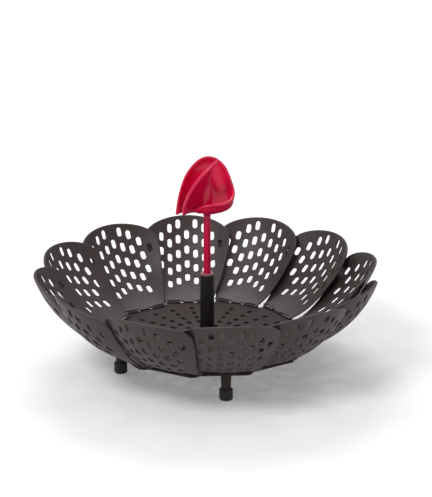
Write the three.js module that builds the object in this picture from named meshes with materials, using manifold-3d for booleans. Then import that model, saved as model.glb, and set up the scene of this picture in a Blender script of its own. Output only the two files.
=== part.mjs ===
// Folding steamer basket.
// Twelve spoon-shaped petals are hinged round a perforated floor and overlap in a spiral.
// A telescoping handle stands on the middle of the floor. Millimetres, +Z up.
// The origin is the middle of the resting plane of the feet; the front of the basket faces -Y.
import * as THREE from "three";
import * as BufferGeometryUtils from "three/addons/utils/BufferGeometryUtils.js";
import { TessellateModifier } from "three/addons/modifiers/TessellateModifier.js";
import Module from "manifold-3d";

const wasm = await Module();
wasm.setup();

// Arrangement of the ring of petals
const petalCount = 12;
const petalPhaseDegrees = 11.75;
const hingeSkewDegrees = 9.5;
const hingeRadius = 79;
const restTiltDegrees = 17.5;

// Petal shell
const petalLength = 89.2;
const petalWidestShare = 0.74;
const petalHalfWidth = 40.2;
const petalFootHalfWidth = 20.9;
const petalFootStraight = 3;
const petalSideExponent = 1.5;
const petalThickness = 1.7;
const spineRadius = 94.8;
const sectionRadius = 61;
const sectionSettlesAt = 45.8;
const petalTipPoints = 15;
const petalSidePoints = 6;
const petalFacetLength = 15;

// Petal slots: one entry for each column from the middle outwards, as shares of the petal's length
const slotLength = 8.1;
const slotWidth = 4.2;
const slotShoulder = 2;
const slotColumnPitch = 7.65;
const slotRowPitchShare = 0.1547;
const slotColumns = [
  { startShare: 0.3386, rows: 4 },
  { startShare: 0.2915, rows: 5 },
  { startShare: 0.2466, rows: 5 },
  { startShare: 0.4664, rows: 3 },
  { startShare: 0.676, rows: 1 },
];
const cutOverrun = 1;
const flatTolerance = 1e-3;
const angleTolerance = 1e-4;

// Snap hinge
const hingeBarRadius = 0.85;
const hingeBarSides = 8;
const hingeBarInner = 6.8;
const hingeBarOuter = 19.4;
const hingeWindowInner = 7.8;
const hingeWindowOuter = 18.4;
const hingeWindowHeight = 2.4;
const hingeNotchInner = 4.6;
const hingeNotchHeight = 1.8;
const petalFootSetback = 0.4;
const hingeClipInner = 8.3;
const hingeClipOuter = 17.9;
const hingeClipBore = 1.1;
const hingeClipRadius = 1.75;
const hingeClipStartDegrees = 20;
const hingeClipSweepDegrees = 280;
const hingeClipSegments = 4;
const hingeClipSunk = 0.7;
const hingeAxisAboveFloor = 0.3;

// Floor: inside the hinges it is full, and a lower ledge carries the clips.
// The rings of drain slots are at shares of the hinge radius.
const floorTop = 26.5;
const floorThickness = 2.4;
const floorStepInset = 1.2;
const floorStepCorner = 1;
const ledgeDrop = 1;
const ledgeOutset = 4;
const ledgeCorner = 3;
const floorToothLeading = 19;
const floorToothTrailing = 22;
const drainLines = 24;
const drainRings = [
  { radiusShare: 0.2861, skip: 2 },
  { radiusShare: 0.4228, skip: 1 },
  { radiusShare: 0.5582, skip: 1 },
  { radiusShare: 0.6937, skip: 1 },
  { radiusShare: 0.8291, skip: 1 },
];
const drainLength = 5.4;
const drainWidth = 3.3;

// Feet
const footCount = 4;
const footRadiusShare = 0.91519;
const legTopRadius = 4.3;
const legBottomRadius = 3.6;
const legEndsAbove = 3;
const footTipRadius = 5.4;
const footTipHeight = 9;
const footTipGap = 0.3;
const footTipRounding = 1.6;
const roundSides = 12;

// Centre tube, its flange and nut
const tubeRadius = 5.8;
const tubeBore = 4.8;
const tubeAboveFloor = 52.5;
const tubeBelowFloor = 13;
const tubeFlangeRadius = 8.6;
const tubeFlangeHeight = 1.8;
const tubeHoleRadius = 6.1;
const nutRadius = 9.7;
const nutHeight = 5;
const nutBore = 6.1;
const nutSides = 6;
const tubeSides = 18;

// Collar in the mouth of the tube
const collarRadius = 5.2;
const collarHeight = 2.4;
const collarBore = 3.2;
const sleeveRadius = 4.5;
const sleeveLength = 8;

// Stem of the handle, with four ribs, and its stop
const stemRadius = 2.85;
const stemRibThickness = 1.9;
const stopRadius = 4.45;
const stopHeight = 3.4;
const stopGap = 0.4;
const stopPegRadius = 1.4;
const stopPegLength = 2.2;
const stopPegGap = 0.3;

// Grip: a shell that curls round the back of a short core and forward as a cup for the thumb,
// and a leaf in front of it. Points are given from the bottom of the core.
const gripBottomAboveFloor = 104.5;
const gripCoreRadius = 4.8;
const gripNeckRadius = 3.7;
const gripNeckHeight = 3.2;
const gripCoreTopRadius = 2.2;
const gripCoreChamfer = 0.5;
const gripCoreHeight = 30;
const gripSocketGap = 0.3;
const gripSocketDepth = 4.3;
const leafThickness = 2.2;
const leafStepsAcross = 5;
const leafStepsAlong = 10;
const shellStepsAlong = 24;
const shellBulge = 6.4;
const leafBulge = 3;
const shellRoot = [
  [-1.5, 1, 6.5],
  [-1, 1.2, 19],
  [0.5, 2.5, 28],
  [2.6, 2.8, 24],
  [3, 1, 14],
  [1.5, -1.5, 8.5],
  [-2, -2.5, 7],
];
const shellRim = [
  [-24.4, 0, 2],
  [-21.8, 2.2, 17],
  [-16.6, 6, 31],
  [-9, 9.6, 40.6],
  [-1, 12, 44.6],
  [7, 13.5, 43],
  [14.5, 13, 36],
  [19.5, 10, 26],
  [21, 2, 17],
  [19, -6, 13.8],
  [11, -12, 13.2],
  [1.5, -13, 12.8],
  [-6.8, -9, 10.6],
];
const leafRoot = [
  [-1.5, -1, 2.4],
  [0, -1.5, 14],
  [2, -1.5, 22],
  [3, -2, 29],
];
const leafRim = [
  [-18.9, -13, 5.2],
  [-17.1, -14.5, 15],
  [-12.5, -15, 26],
  [-6, -14.5, 36],
  [2, -12.5, 43.4],
  [9.2, -9, 47.8],
];

// Turns a geometry without seams into a solid for joining and cutting
function solidOf(geometry) {
  const bare = geometry.index ? geometry.toNonIndexed() : geometry.clone();
  for (const name of Object.keys(bare.attributes)) {
    if (name !== "position") {
      bare.deleteAttribute(name);
    }
  }
  const merged = BufferGeometryUtils.mergeVertices(bare, 1e-5);
  return new wasm.Manifold(
    new wasm.Mesh({
      numProp: 3,
      vertProperties: Float32Array.from(merged.attributes.position.array),
      triVerts: Uint32Array.from(merged.index.array),
    }),
  );
}

// Turns a solid back into a geometry
function geometryOf(solid) {
  const mesh = solid.getMesh();
  const geometry = new THREE.BufferGeometry();
  const stride = mesh.numProp;
  const count = mesh.vertProperties.length / stride;
  const positions = new Float32Array(count * 3);
  for (let i = 0; i < count; i++) {
    for (let axis = 0; axis < 3; axis++) {
      positions[3 * i + axis] = mesh.vertProperties[stride * i + axis];
    }
  }
  geometry.setAttribute("position", new THREE.BufferAttribute(positions, 3));
  geometry.setIndex(Array.from(mesh.triVerts));
  return geometry;
}

function joined(first, ...others) {
  return others.reduce((sum, next) => sum.add(solidOf(next)), solidOf(first));
}

// Plate with every one of the given holes cut through it
function pierced(plate, holes, height) {
  const cutters = holes.map((points) => prism(polygon(points), height + 2 * cutOverrun));
  const cutter = BufferGeometryUtils.mergeGeometries(cutters).translate(0, 0, -cutOverrun);
  return solidOf(plate).subtract(solidOf(cutter));
}

// Flat polygon from pairs of numbers
function polygon(points) {
  return new THREE.Shape(points.map(([x, y]) => new THREE.Vector2(x, y)));
}

function prism(shape, height) {
  return new THREE.ExtrudeGeometry(shape, { depth: height, bevelEnabled: false });
}

// Corners of a regular polygon round the origin
function circlePoints(radius, sides) {
  const points = [];
  for (let i = 0; i < sides; i++) {
    const angle = (2 * Math.PI * i) / sides;
    points.push([radius * Math.cos(angle), radius * Math.sin(angle)]);
  }
  return points;
}

// Six-sided slot, long along y
function slotPoints(x, y) {
  const halfLength = slotLength / 2;
  const halfWidth = slotWidth / 2;
  const shoulderAt = halfLength - slotShoulder;
  return [
    [x - halfWidth, y - shoulderAt],
    [x, y - halfLength],
    [x + halfWidth, y - shoulderAt],
    [x + halfWidth, y + shoulderAt],
    [x, y + halfLength],
    [x - halfWidth, y + shoulderAt],
  ];
}

// Closed ring or solid of revolution from [radius, height] points
function turned(points, sides) {
  const profile = points.map(([radius, height]) => new THREE.Vector2(radius, height));
  return new THREE.LatheGeometry(profile, sides).rotateX(Math.PI / 2);
}

// Where the petal is widest, measured from its hinge
const petalWidestAt = petalLength * petalWidestShare;

// Half width of the petal at a distance from the hinge, below its widest place
function petalSide(distance) {
  const share = Math.max(0, (distance - petalFootStraight) / (petalWidestAt - petalFootStraight));
  const rise = 1 - Math.pow(1 - share, petalSideExponent);
  return petalFootHalfWidth + (petalHalfWidth - petalFootHalfWidth) * rise;
}

// Right half of the petal outline, from the middle of the foot to the tip
function petalHalfOutline() {
  const points = [
    [hingeNotchInner, petalFootSetback],
    [hingeNotchInner, hingeNotchHeight],
    [hingeBarInner, hingeNotchHeight],
    [hingeBarInner, 0],
    [hingeWindowInner, 0],
    [hingeWindowInner, hingeWindowHeight],
    [hingeWindowOuter, hingeWindowHeight],
    [hingeWindowOuter, 0],
    [hingeBarOuter, 0],
    [petalFootHalfWidth, petalFootSetback],
  ];
  for (let i = 0; i < petalSidePoints; i++) {
    const distance = petalFootStraight + (petalWidestAt - petalFootStraight) * (i / petalSidePoints);
    points.push([petalSide(distance), distance]);
  }
  const capHeight = petalLength - petalWidestAt;
  const half = (petalTipPoints - 1) / 2;
  for (let i = 0; i < half; i++) {
    const angle = (Math.PI / 2) * (i / half);
    points.push([petalHalfWidth * Math.cos(angle), petalWidestAt + capHeight * Math.sin(angle)]);
  }
  return points;
}

// Flat petal with its slots, in the plane of the hinge, thickness centred on the plane
function flatPetal() {
  const right = petalHalfOutline();
  const left = right.map(([x, y]) => [-x, y]).reverse();
  const outline = [...right, [0, petalLength], ...left];
  const slots = [];
  slotColumns.forEach((column, index) => {
    for (let row = 0; row < column.rows; row++) {
      const distance = petalLength * (column.startShare + slotRowPitchShare * row);
      for (const side of index === 0 ? [1] : [-1, 1]) {
        slots.push(slotPoints(side * index * slotColumnPitch, distance));
      }
    }
  });
  const solid = pierced(prism(polygon(outline), petalThickness), slots, petalThickness);
  return geometryOf(solid).translate(0, 0, -petalThickness / 2);
}

// Bends the flat petal: the spine rises on an arc and the cross-section closes in on another,
// which grows from straight at the hinge to its full bend further out
function bendPetal(geometry) {
  const position = geometry.attributes.position;
  const point = new THREE.Vector3();
  for (let i = 0; i < position.count; i++) {
    point.fromBufferAttribute(position, i);
    const [across, along, offset] = [point.x, point.y, point.z];
    const tilt = along / spineRadius;
    const settled = Math.min(1, Math.max(0, along / sectionSettlesAt));
    const bend = (1 - (1 - settled) * (1 - settled)) / sectionRadius;
    const turn = across * bend;
    const sideways = turn === 0 ? across : Math.sin(turn) / bend - offset * Math.sin(turn);
    const inward = turn === 0 ? offset : (1 - Math.cos(turn)) / bend + offset * Math.cos(turn);
    point.x = sideways;
    point.y = spineRadius * Math.sin(tilt) - inward * Math.sin(tilt);
    point.z = spineRadius * (1 - Math.cos(tilt)) + inward * Math.cos(tilt);
    position.setXYZ(i, point.x, point.y, point.z);
  }
  return geometry;
}

// Hinge bar on one side of the foot of the petal
function hingeBar(side) {
  const length = hingeBarOuter - hingeBarInner;
  const bar = new THREE.CylinderGeometry(hingeBarRadius, hingeBarRadius, length, hingeBarSides);
  bar.rotateZ(Math.PI / 2);
  return bar.translate((side * (hingeBarInner + hingeBarOuter)) / 2, 0, 0);
}

// Swaps the shared edges of a flat plate's faces until no pair of its triangles is needlessly thin
function evened(geometry) {
  const position = geometry.attributes.position;
  const triangles = Array.from(geometry.index.array);
  const corner = (vertex) => new THREE.Vector3().fromBufferAttribute(position, vertex);
  const angleAt = (at, from, to) => corner(from).sub(corner(at)).angleTo(corner(to).sub(corner(at)));
  const owners = new Map();
  const own = (triangle) => {
    for (let i = 0; i < 3; i++) {
      const [from, to] = [triangles[3 * triangle + i], triangles[3 * triangle + ((i + 1) % 3)]];
      owners.set(`${from} ${to}`, [triangle, triangles[3 * triangle + ((i + 2) % 3)]]);
    }
  };
  for (let triangle = 0; triangle < triangles.length / 3; triangle++) {
    own(triangle);
  }
  const waiting = [...owners.keys()];
  while (waiting.length > 0) {
    const [from, to] = waiting.pop().split(" ").map(Number);
    const [near, far] = [owners.get(`${from} ${to}`), owners.get(`${to} ${from}`)];
    if (!near || !far) {
      continue;
    }
    const [left, right] = [near[1], far[1]];
    const heights = [from, to, left, right].map((vertex) => position.getZ(vertex));
    const level = Math.max(...heights) - Math.min(...heights) < flatTolerance;
    if (level && angleAt(left, from, to) + angleAt(right, from, to) > Math.PI + angleTolerance) {
      owners.delete(`${from} ${to}`);
      owners.delete(`${to} ${from}`);
      triangles.splice(3 * near[0], 3, left, from, right);
      triangles.splice(3 * far[0], 3, left, right, to);
      own(near[0]);
      own(far[0]);
      waiting.push(`${left} ${from}`, `${from} ${right}`, `${right} ${to}`, `${to} ${left}`);
    }
  }
  const swapped = geometry.clone();
  swapped.setIndex(triangles);
  return swapped;
}

// Whole petal with its foot on the x axis and its tip towards +y, before it is tilted
function petalGeometry() {
  const flat = evened(flatPetal()).toNonIndexed();
  const split = new TessellateModifier(petalFacetLength, 8).modify(flat);
  return geometryOf(joined(bendPetal(split), hingeBar(-1), hingeBar(1)));
}

// Places a thing by the frame of one hinge: x along the hinge, y outwards from its middle
function atHinge(index, height, content) {
  const skewed = new THREE.Group();
  skewed.position.set(0, hingeRadius, height);
  skewed.rotation.z = -THREE.MathUtils.degToRad(hingeSkewDegrees);
  skewed.add(content);
  const turnedGroup = new THREE.Group();
  turnedGroup.rotation.z = -hingeAzimuth(index);
  turnedGroup.add(skewed);
  return turnedGroup;
}

// Clockwise angle of a hinge from the back of the basket, seen from above
function hingeAzimuth(index) {
  return (2 * Math.PI * index) / petalCount - THREE.MathUtils.degToRad(petalPhaseDegrees);
}

// Point of the floor plane given in the frame of one hinge
function hingePoint(index, along, outward) {
  const skew = THREE.MathUtils.degToRad(hingeSkewDegrees);
  const azimuth = hingeAzimuth(index);
  const tangent = along * Math.cos(skew) + outward * Math.sin(skew);
  const radial = hingeRadius - along * Math.sin(skew) + outward * Math.cos(skew);
  return [
    tangent * Math.cos(azimuth) + radial * Math.sin(azimuth),
    -tangent * Math.sin(azimuth) + radial * Math.cos(azimuth),
  ];
}

// Saw-toothed outline, one straight side for each petal, with its outer corner cut off
function floorOutline(outset, corner) {
  const points = [];
  for (let i = 0; i < petalCount; i++) {
    points.push(hingePoint(i, -floorToothLeading, outset - corner));
    points.push(hingePoint(i, corner - floorToothLeading, outset));
    points.push(hingePoint(i, floorToothTrailing, outset));
  }
  return points;
}

// Small rectangular slot on the +y axis
function drainPoints(radius) {
  const [x, y] = [drainWidth / 2, drainLength / 2];
  return [
    [-x, radius - y],
    [x, radius - y],
    [x, radius + y],
    [-x, radius + y],
  ];
}

// Drain slots of the floor, on rays at and between the petals
function drainHoles() {
  const holes = [];
  for (let line = 0; line < drainLines; line++) {
    const azimuth = (2 * Math.PI * line) / drainLines - THREE.MathUtils.degToRad(petalPhaseDegrees);
    for (const ring of drainRings) {
      if (line % ring.skip === 0) {
        const points = drainPoints(hingeRadius * ring.radiusShare);
        const turnedPoints = points.map(([x, y]) => [
          x * Math.cos(azimuth) + y * Math.sin(azimuth),
          -x * Math.sin(azimuth) + y * Math.cos(azimuth),
        ]);
        holes.push(turnedPoints);
      }
    }
  }
  return holes;
}

// C-shaped clip that a hinge bar snaps into, drawn across the hinge, with its back in the ledge
function clipShape() {
  const start = THREE.MathUtils.degToRad(hingeClipStartDegrees);
  const sweep = THREE.MathUtils.degToRad(hingeClipSweepDegrees);
  const boreCorner = hingeClipBore / Math.cos(sweep / hingeClipSegments / 2);
  const arc = (radius, i) => {
    const angle = start - sweep * (i / hingeClipSegments);
    return [radius * Math.cos(angle), radius * Math.sin(angle)];
  };
  const bottom = -hingeAxisAboveFloor - ledgeDrop - hingeClipSunk;
  const back = [
    [hingeClipRadius, bottom],
    [-hingeClipRadius, bottom],
    arc(hingeClipRadius, hingeClipSegments - 1),
  ];
  const inner = [];
  for (let i = hingeClipSegments; i >= 0; i--) {
    inner.push(arc(boreCorner, i));
  }
  const [nib, hook] = [arc(hingeClipRadius, 0), arc(hingeClipRadius, hingeClipSegments)];
  return polygon([nib, ...back, hook, ...inner].reverse());
}

function clipGeometry(index, side) {
  const clip = prism(clipShape(), hingeClipOuter - hingeClipInner);
  // The drawing plane becomes the plane across the hinge: x outwards, y up, depth along it
  const across = new THREE.Matrix4().makeBasis(
    new THREE.Vector3(0, 1, 0),
    new THREE.Vector3(0, 0, 1),
    new THREE.Vector3(1, 0, 0),
  );
  clip.applyMatrix4(across);
  clip.translate(side > 0 ? hingeClipInner : -hingeClipOuter, 0, 0);
  const holder = new THREE.Group();
  const frame = atHinge(index, floorTop + hingeAxisAboveFloor, holder);
  frame.updateMatrixWorld(true);
  return clip.applyMatrix4(holder.matrixWorld);
}

// Distance of the feet from the middle
const footRadius = hingeRadius * footRadiusShare;

// Leg moulded under the floor
function legGeometry(index) {
  const azimuth = (2 * Math.PI * index) / footCount - THREE.MathUtils.degToRad(petalPhaseDegrees);
  const height = floorTop - floorThickness / 2 - legEndsAbove;
  const leg = new THREE.CylinderGeometry(legTopRadius, legBottomRadius, height, roundSides);
  leg.rotateX(Math.PI / 2);
  const middle = legEndsAbove + height / 2;
  return leg.translate(footRadius * Math.sin(azimuth), footRadius * Math.cos(azimuth), middle);
}

function floorGeometry() {
  const holes = [...drainHoles(), circlePoints(tubeHoleRadius, tubeSides)];
  const full = prism(polygon(floorOutline(-floorStepInset, floorStepCorner)), floorThickness);
  const ledge = prism(polygon(floorOutline(ledgeOutset, ledgeCorner)), floorThickness - ledgeDrop);
  const solid = pierced(geometryOf(joined(full, ledge)), holes, floorThickness);
  const plate = geometryOf(solid).translate(0, 0, floorTop - floorThickness);
  const additions = [];
  for (let i = 0; i < petalCount; i++) {
    additions.push(clipGeometry(i, -1), clipGeometry(i, 1));
  }
  for (let i = 0; i < footCount; i++) {
    additions.push(legGeometry(i));
  }
  return geometryOf(joined(plate, ...additions));
}

// Soft cup over the end of a leg
function footTipGeometry() {
  const slope = (legTopRadius - legBottomRadius) / (floorTop - floorThickness / 2 - legEndsAbove);
  const boreTop = legBottomRadius + slope * (footTipHeight - legEndsAbove) + footTipGap;
  return turned(
    [
      [0, 0],
      [footTipRadius - footTipRounding, 0],
      [footTipRadius, footTipRounding],
      [footTipRadius, footTipHeight],
      [boreTop, footTipHeight],
      [legBottomRadius + footTipGap, legEndsAbove],
      [0, legEndsAbove],
    ],
    roundSides,
  );
}

function tubeGeometry() {
  return turned(
    [
      [tubeBore, floorTop - tubeBelowFloor],
      [tubeRadius, floorTop - tubeBelowFloor],
      [tubeRadius, floorTop],
      [tubeFlangeRadius, floorTop],
      [tubeFlangeRadius, floorTop + tubeFlangeHeight],
      [tubeRadius, floorTop + tubeFlangeHeight],
      [tubeRadius, floorTop + tubeAboveFloor],
      [tubeBore, floorTop + tubeAboveFloor],
      [tubeBore, floorTop - tubeBelowFloor],
    ],
    tubeSides,
  );
}

function nutGeometry() {
  const top = floorTop - floorThickness;
  const shape = polygon(circlePoints(nutRadius, nutSides));
  shape.holes.push(polygon(circlePoints(nutBore, tubeSides)));
  return prism(shape, nutHeight).translate(0, 0, top - nutHeight);
}

function collarGeometry() {
  const mouth = floorTop + tubeAboveFloor;
  return turned(
    [
      [collarBore, mouth - sleeveLength],
      [sleeveRadius, mouth - sleeveLength],
      [sleeveRadius, mouth],
      [collarRadius, mouth],
      [collarRadius, mouth + collarHeight],
      [collarBore, mouth + collarHeight],
      [collarBore, mouth - sleeveLength],
    ],
    tubeSides,
  );
}

// Bottom of the ribbed stem and top of its stop, with the handle drawn out
const stopTop = floorTop + tubeAboveFloor - sleeveLength - stopGap;

function stemGeometry() {
  const rib = stemRibThickness / 2;
  const cross = [
    [stemRadius, -rib],
    [stemRadius, rib],
    [rib, rib],
    [rib, stemRadius],
    [-rib, stemRadius],
    [-rib, rib],
    [-stemRadius, rib],
    [-stemRadius, -rib],
    [-rib, -rib],
    [-rib, -stemRadius],
    [rib, -stemRadius],
    [rib, -rib],
  ];
  const length = floorTop + gripBottomAboveFloor + gripSocketDepth - gripSocketGap - stopTop;
  const ribs = prism(polygon(cross), length).translate(0, 0, stopTop);
  const peg = new THREE.CylinderGeometry(stopPegRadius, stopPegRadius, 2 * stopPegLength, roundSides);
  peg.rotateX(Math.PI / 2).translate(0, 0, stopTop);
  return geometryOf(joined(ribs, peg));
}

function stopGeometry() {
  const socketBottom = stopTop - stopPegLength - stopPegGap;
  return turned(
    [
      [0, stopTop - stopHeight],
      [stopRadius, stopTop - stopHeight],
      [stopRadius, stopTop],
      [stopPegRadius + stopPegGap, stopTop],
      [stopPegRadius + stopPegGap, socketBottom],
      [0, socketBottom],
    ],
    roundSides,
  );
}

// Curved sheet between an inner and an outer line, closed all round
function leafGeometry(innerPoints, outerPoints, bulge, stepsAlong) {
  const inner = new THREE.CatmullRomCurve3(innerPoints.map((p) => new THREE.Vector3(...p)));
  const outer = new THREE.CatmullRomCurve3(outerPoints.map((p) => new THREE.Vector3(...p)));
  const sheet = (s, t) => {
    const from = inner.getPoint(t);
    const to = outer.getPoint(t);
    const along = outer.getTangent(t);
    const away = new THREE.Vector3().subVectors(to, from).cross(along).normalize();
    return from.lerp(to, s).addScaledVector(away, 4 * bulge * s * (1 - s));
  };
  const normalAt = (s, t) => {
    const step = 1e-3;
    const [s0, s1] = [Math.max(0, s - step), Math.min(1, s + step)];
    const [t0, t1] = [Math.max(0, t - step), Math.min(1, t + step)];
    const ds = sheet(s1, t).sub(sheet(s0, t));
    const dt = sheet(s, t1).sub(sheet(s, t0));
    return ds.cross(dt).normalize();
  };
  const positions = [];
  const [columns, rows] = [leafStepsAcross + 1, stepsAlong + 1];
  for (const side of [1, -1]) {
    for (let j = 0; j < rows; j++) {
      for (let i = 0; i < columns; i++) {
        const [s, t] = [i / leafStepsAcross, j / stepsAlong];
        const p = sheet(s, t).addScaledVector(normalAt(s, t), (side * leafThickness) / 2);
        positions.push(p.x, p.y, p.z);
      }
    }
  }
  const at = (side, i, j) => side * columns * rows + j * columns + i;
  const [lastAcross, lastAlong] = [leafStepsAcross, stepsAlong];
  const triangles = [];
  const quad = (a, b, c, d) => triangles.push(a, b, c, a, c, d);
  for (let j = 0; j < stepsAlong; j++) {
    for (let i = 0; i < leafStepsAcross; i++) {
      quad(at(0, i, j), at(0, i + 1, j), at(0, i + 1, j + 1), at(0, i, j + 1));
      quad(at(1, i, j), at(1, i, j + 1), at(1, i + 1, j + 1), at(1, i + 1, j));
    }
    quad(at(0, 0, j), at(0, 0, j + 1), at(1, 0, j + 1), at(1, 0, j));
    quad(
      at(0, lastAcross, j),
      at(1, lastAcross, j),
      at(1, lastAcross, j + 1),
      at(0, lastAcross, j + 1),
    );
  }
  for (let i = 0; i < leafStepsAcross; i++) {
    quad(at(0, i, 0), at(1, i, 0), at(1, i + 1, 0), at(0, i + 1, 0));
    quad(at(0, i, lastAlong), at(0, i + 1, lastAlong), at(1, i + 1, lastAlong), at(1, i, lastAlong));
  }
  const geometry = new THREE.BufferGeometry();
  geometry.setAttribute("position", new THREE.BufferAttribute(new Float32Array(positions), 3));
  geometry.setIndex(triangles);
  return geometry;
}

function gripGeometry() {
  const core = turned(
    [
      [0, 0],
      [gripNeckRadius - gripCoreChamfer, 0],
      [gripNeckRadius, gripCoreChamfer],
      [gripCoreRadius, gripNeckHeight],
      [gripCoreRadius, gripSocketDepth + leafThickness],
      [gripCoreTopRadius, gripCoreHeight],
      [0, gripCoreHeight],
    ],
    roundSides,
  );
  const socket = new THREE.CylinderGeometry(
    stemRadius + gripSocketGap,
    stemRadius + gripSocketGap,
    gripSocketDepth + cutOverrun,
    roundSides,
  );
  socket.rotateX(Math.PI / 2).translate(0, 0, (gripSocketDepth - cutOverrun) / 2);
  const solid = joined(
    core,
    leafGeometry(shellRoot, shellRim, shellBulge, shellStepsAlong),
    leafGeometry(leafRoot, leafRim, leafBulge, leafStepsAlong),
  ).subtract(solidOf(socket));
  return geometryOf(solid).translate(0, 0, floorTop + gripBottomAboveFloor);
}

// Materials
function plastic(color, roughness) {
  return new THREE.MeshStandardMaterial({ color, roughness, metalness: 0 });
}

const basket = new THREE.Group();

// Adds one named piece to the basket, in the group that places it
function addPiece(name, geometry, material, place = (mesh) => mesh) {
  const mesh = new THREE.Mesh(geometry, material);
  mesh.name = name;
  basket.add(place(mesh));
  return mesh;
}

addPiece("base_plate", floorGeometry(), plastic("#3f3a3a", 0.6));

const petal = petalGeometry();
for (let i = 0; i < petalCount; i++) {
  const name = `petal_${String(i + 1).padStart(2, "0")}`;
  addPiece(name, petal.clone(), plastic("#45403f", 0.55), (mesh) => {
    mesh.rotation.x = THREE.MathUtils.degToRad(restTiltDegrees);
    return atHinge(i, floorTop + hingeAxisAboveFloor, mesh);
  });
}

for (let i = 0; i < footCount; i++) {
  const azimuth = (2 * Math.PI * i) / footCount - THREE.MathUtils.degToRad(petalPhaseDegrees);
  addPiece(`foot_tip_0${i + 1}`, footTipGeometry(), plastic("#2b2829", 0.8), (mesh) => {
    mesh.position.set(footRadius * Math.sin(azimuth), footRadius * Math.cos(azimuth), 0);
    return mesh;
  });
}

addPiece("post_tube", tubeGeometry(), plastic("#1d1b1c", 0.45));
addPiece("post_nut", nutGeometry(), plastic("#1d1b1c", 0.55));
addPiece("tube_collar", collarGeometry(), plastic("#e39aa6", 0.5));
addPiece("handle_stem", stemGeometry(), plastic("#c4173c", 0.4));
addPiece("stem_stop", stopGeometry(), plastic("#2b2829", 0.5));
addPiece("handle_grip", gripGeometry(), plastic("#c4173c", 0.4));

export default basket;
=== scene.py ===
import math

import bpy
from mathutils import Matrix, Vector


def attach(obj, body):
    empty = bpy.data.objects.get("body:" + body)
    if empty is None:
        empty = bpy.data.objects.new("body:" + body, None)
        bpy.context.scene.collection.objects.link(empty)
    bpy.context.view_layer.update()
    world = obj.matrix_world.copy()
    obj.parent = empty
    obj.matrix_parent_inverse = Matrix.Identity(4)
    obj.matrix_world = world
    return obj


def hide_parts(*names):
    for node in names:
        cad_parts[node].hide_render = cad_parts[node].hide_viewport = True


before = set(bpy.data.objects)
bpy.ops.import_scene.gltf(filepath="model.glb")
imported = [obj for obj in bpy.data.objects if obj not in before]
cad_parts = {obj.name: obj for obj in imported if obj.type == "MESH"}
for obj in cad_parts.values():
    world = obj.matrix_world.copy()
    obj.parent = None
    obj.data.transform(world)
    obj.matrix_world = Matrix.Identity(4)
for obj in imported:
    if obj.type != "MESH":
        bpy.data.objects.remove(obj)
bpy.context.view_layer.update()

# Folding steamer basket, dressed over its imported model.
# Sizes below are millimetres; meshes are made in metres. The front of the basket faces -Y.
MM = 0.001

# Making of meshes: how close points merge, how sharp an edge stays, and sides of a round piece
WELD_DISTANCE = 0.001
SHARP_ANGLE = math.radians(50)
ROUND_STEPS, FINE_STEPS, COARSE_STEPS = 48, 64, 24

# Ring of petals
PETALS = 12
PETAL_PHASE = math.radians(11.75)
HINGE_SKEW = math.radians(9.5)
HINGE_RADIUS = 79
HINGE_HEIGHT = 26.8
REST_TILT = math.radians(17.5)

# Petal shell
PETAL_LENGTH = 89.2
PETAL_WIDEST_AT = 66
PETAL_HALF_WIDTH = 40.2
PETAL_FOOT_HALF_WIDTH = 20.9
PETAL_FOOT_STRAIGHT = 3
PETAL_FOOT_BOTTOM, PETAL_FOOT_CORNER = 0.4, 1.2
PETAL_THICKNESS = 1.7
SPINE_RADIUS = 94.8
SECTION_RADIUS = 61
SECTION_SETTLES_AT = 45.8
SIDE_STEPS, TIP_STEPS = 24, 26
CUT_STEP = 3

# Slots of the petal: first slot and count in each column, from the middle outwards
SLOT_LENGTH = 8.1
SLOT_WIDTH = 4.2
SLOT_RIM = 0.25
SLOT_COLUMN_PITCH = 7.65
SLOT_ROW_PITCH = 13.8
SLOT_COLUMNS = [(30.2, 4), (26, 5), (22, 5), (41.6, 3), (60.3, 1)]

# Snap hinge
BAR_RADIUS, BAR_EDGE = 0.85, 0.3
BAR_INNER, BAR_OUTER = 6.8, 19.4
WINDOW_INNER, WINDOW_OUTER, WINDOW_HEIGHT = 7.8, 18.4, 2.4
NOTCH_INNER, NOTCH_HEIGHT = 4.6, 1.8
CLIP_INNER, CLIP_OUTER = 8.3, 17.9
CLIP_BORE, CLIP_RADIUS = 1.1, 1.75
CLIP_BOTTOM = -2
CLIP_EDGE = 0.2

# Floor: a plate, and a ledge under its edge that carries the clips
FLOOR_TOP = 26.5
FLOOR_THICKNESS = 2.4
FLOOR_BOTTOM = FLOOR_TOP - FLOOR_THICKNESS
FLOOR_EDGE, LEDGE_EDGE = 0.4, 0.3
STEP_INSET, STEP_CORNER = 1.2, 1
LEDGE_DROP, LEDGE_OUTSET, LEDGE_CORNER = 1, 4, 3
LEDGE_BORE = 71
LEDGE_SINK = 0.05
TOOTH_LEADING, TOOTH_TRAILING = 19, 22

# Drain slots: radius of each ring, and every how many lines it has one
DRAIN_LINES = 24
DRAIN_RINGS = [(22.6, 2), (33.4, 1), (44.1, 1), (54.8, 1), (65.5, 1)]
DRAIN_LENGTH, DRAIN_WIDTH, DRAIN_CORNER = 5.4, 3.3, 0.9

# Legs and their tips
FEET = 4
FOOT_RADIUS = 72.3
LEG_BOTTOM, LEG_SINK = 3, 0.5
LEG_BOTTOM_RADIUS, LEG_TOP_RADIUS, LEG_FILLET = 3.6, 4.26, 2.4
TIP_RADIUS, TIP_TOP = 5.4, 9
TIP_BORE_RADIUS, TIP_MOUTH_RADIUS = 3.9, 4.12
TIP_BOTTOM_CORNER, TIP_TOP_CORNER = 1.6, 0.5

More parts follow.
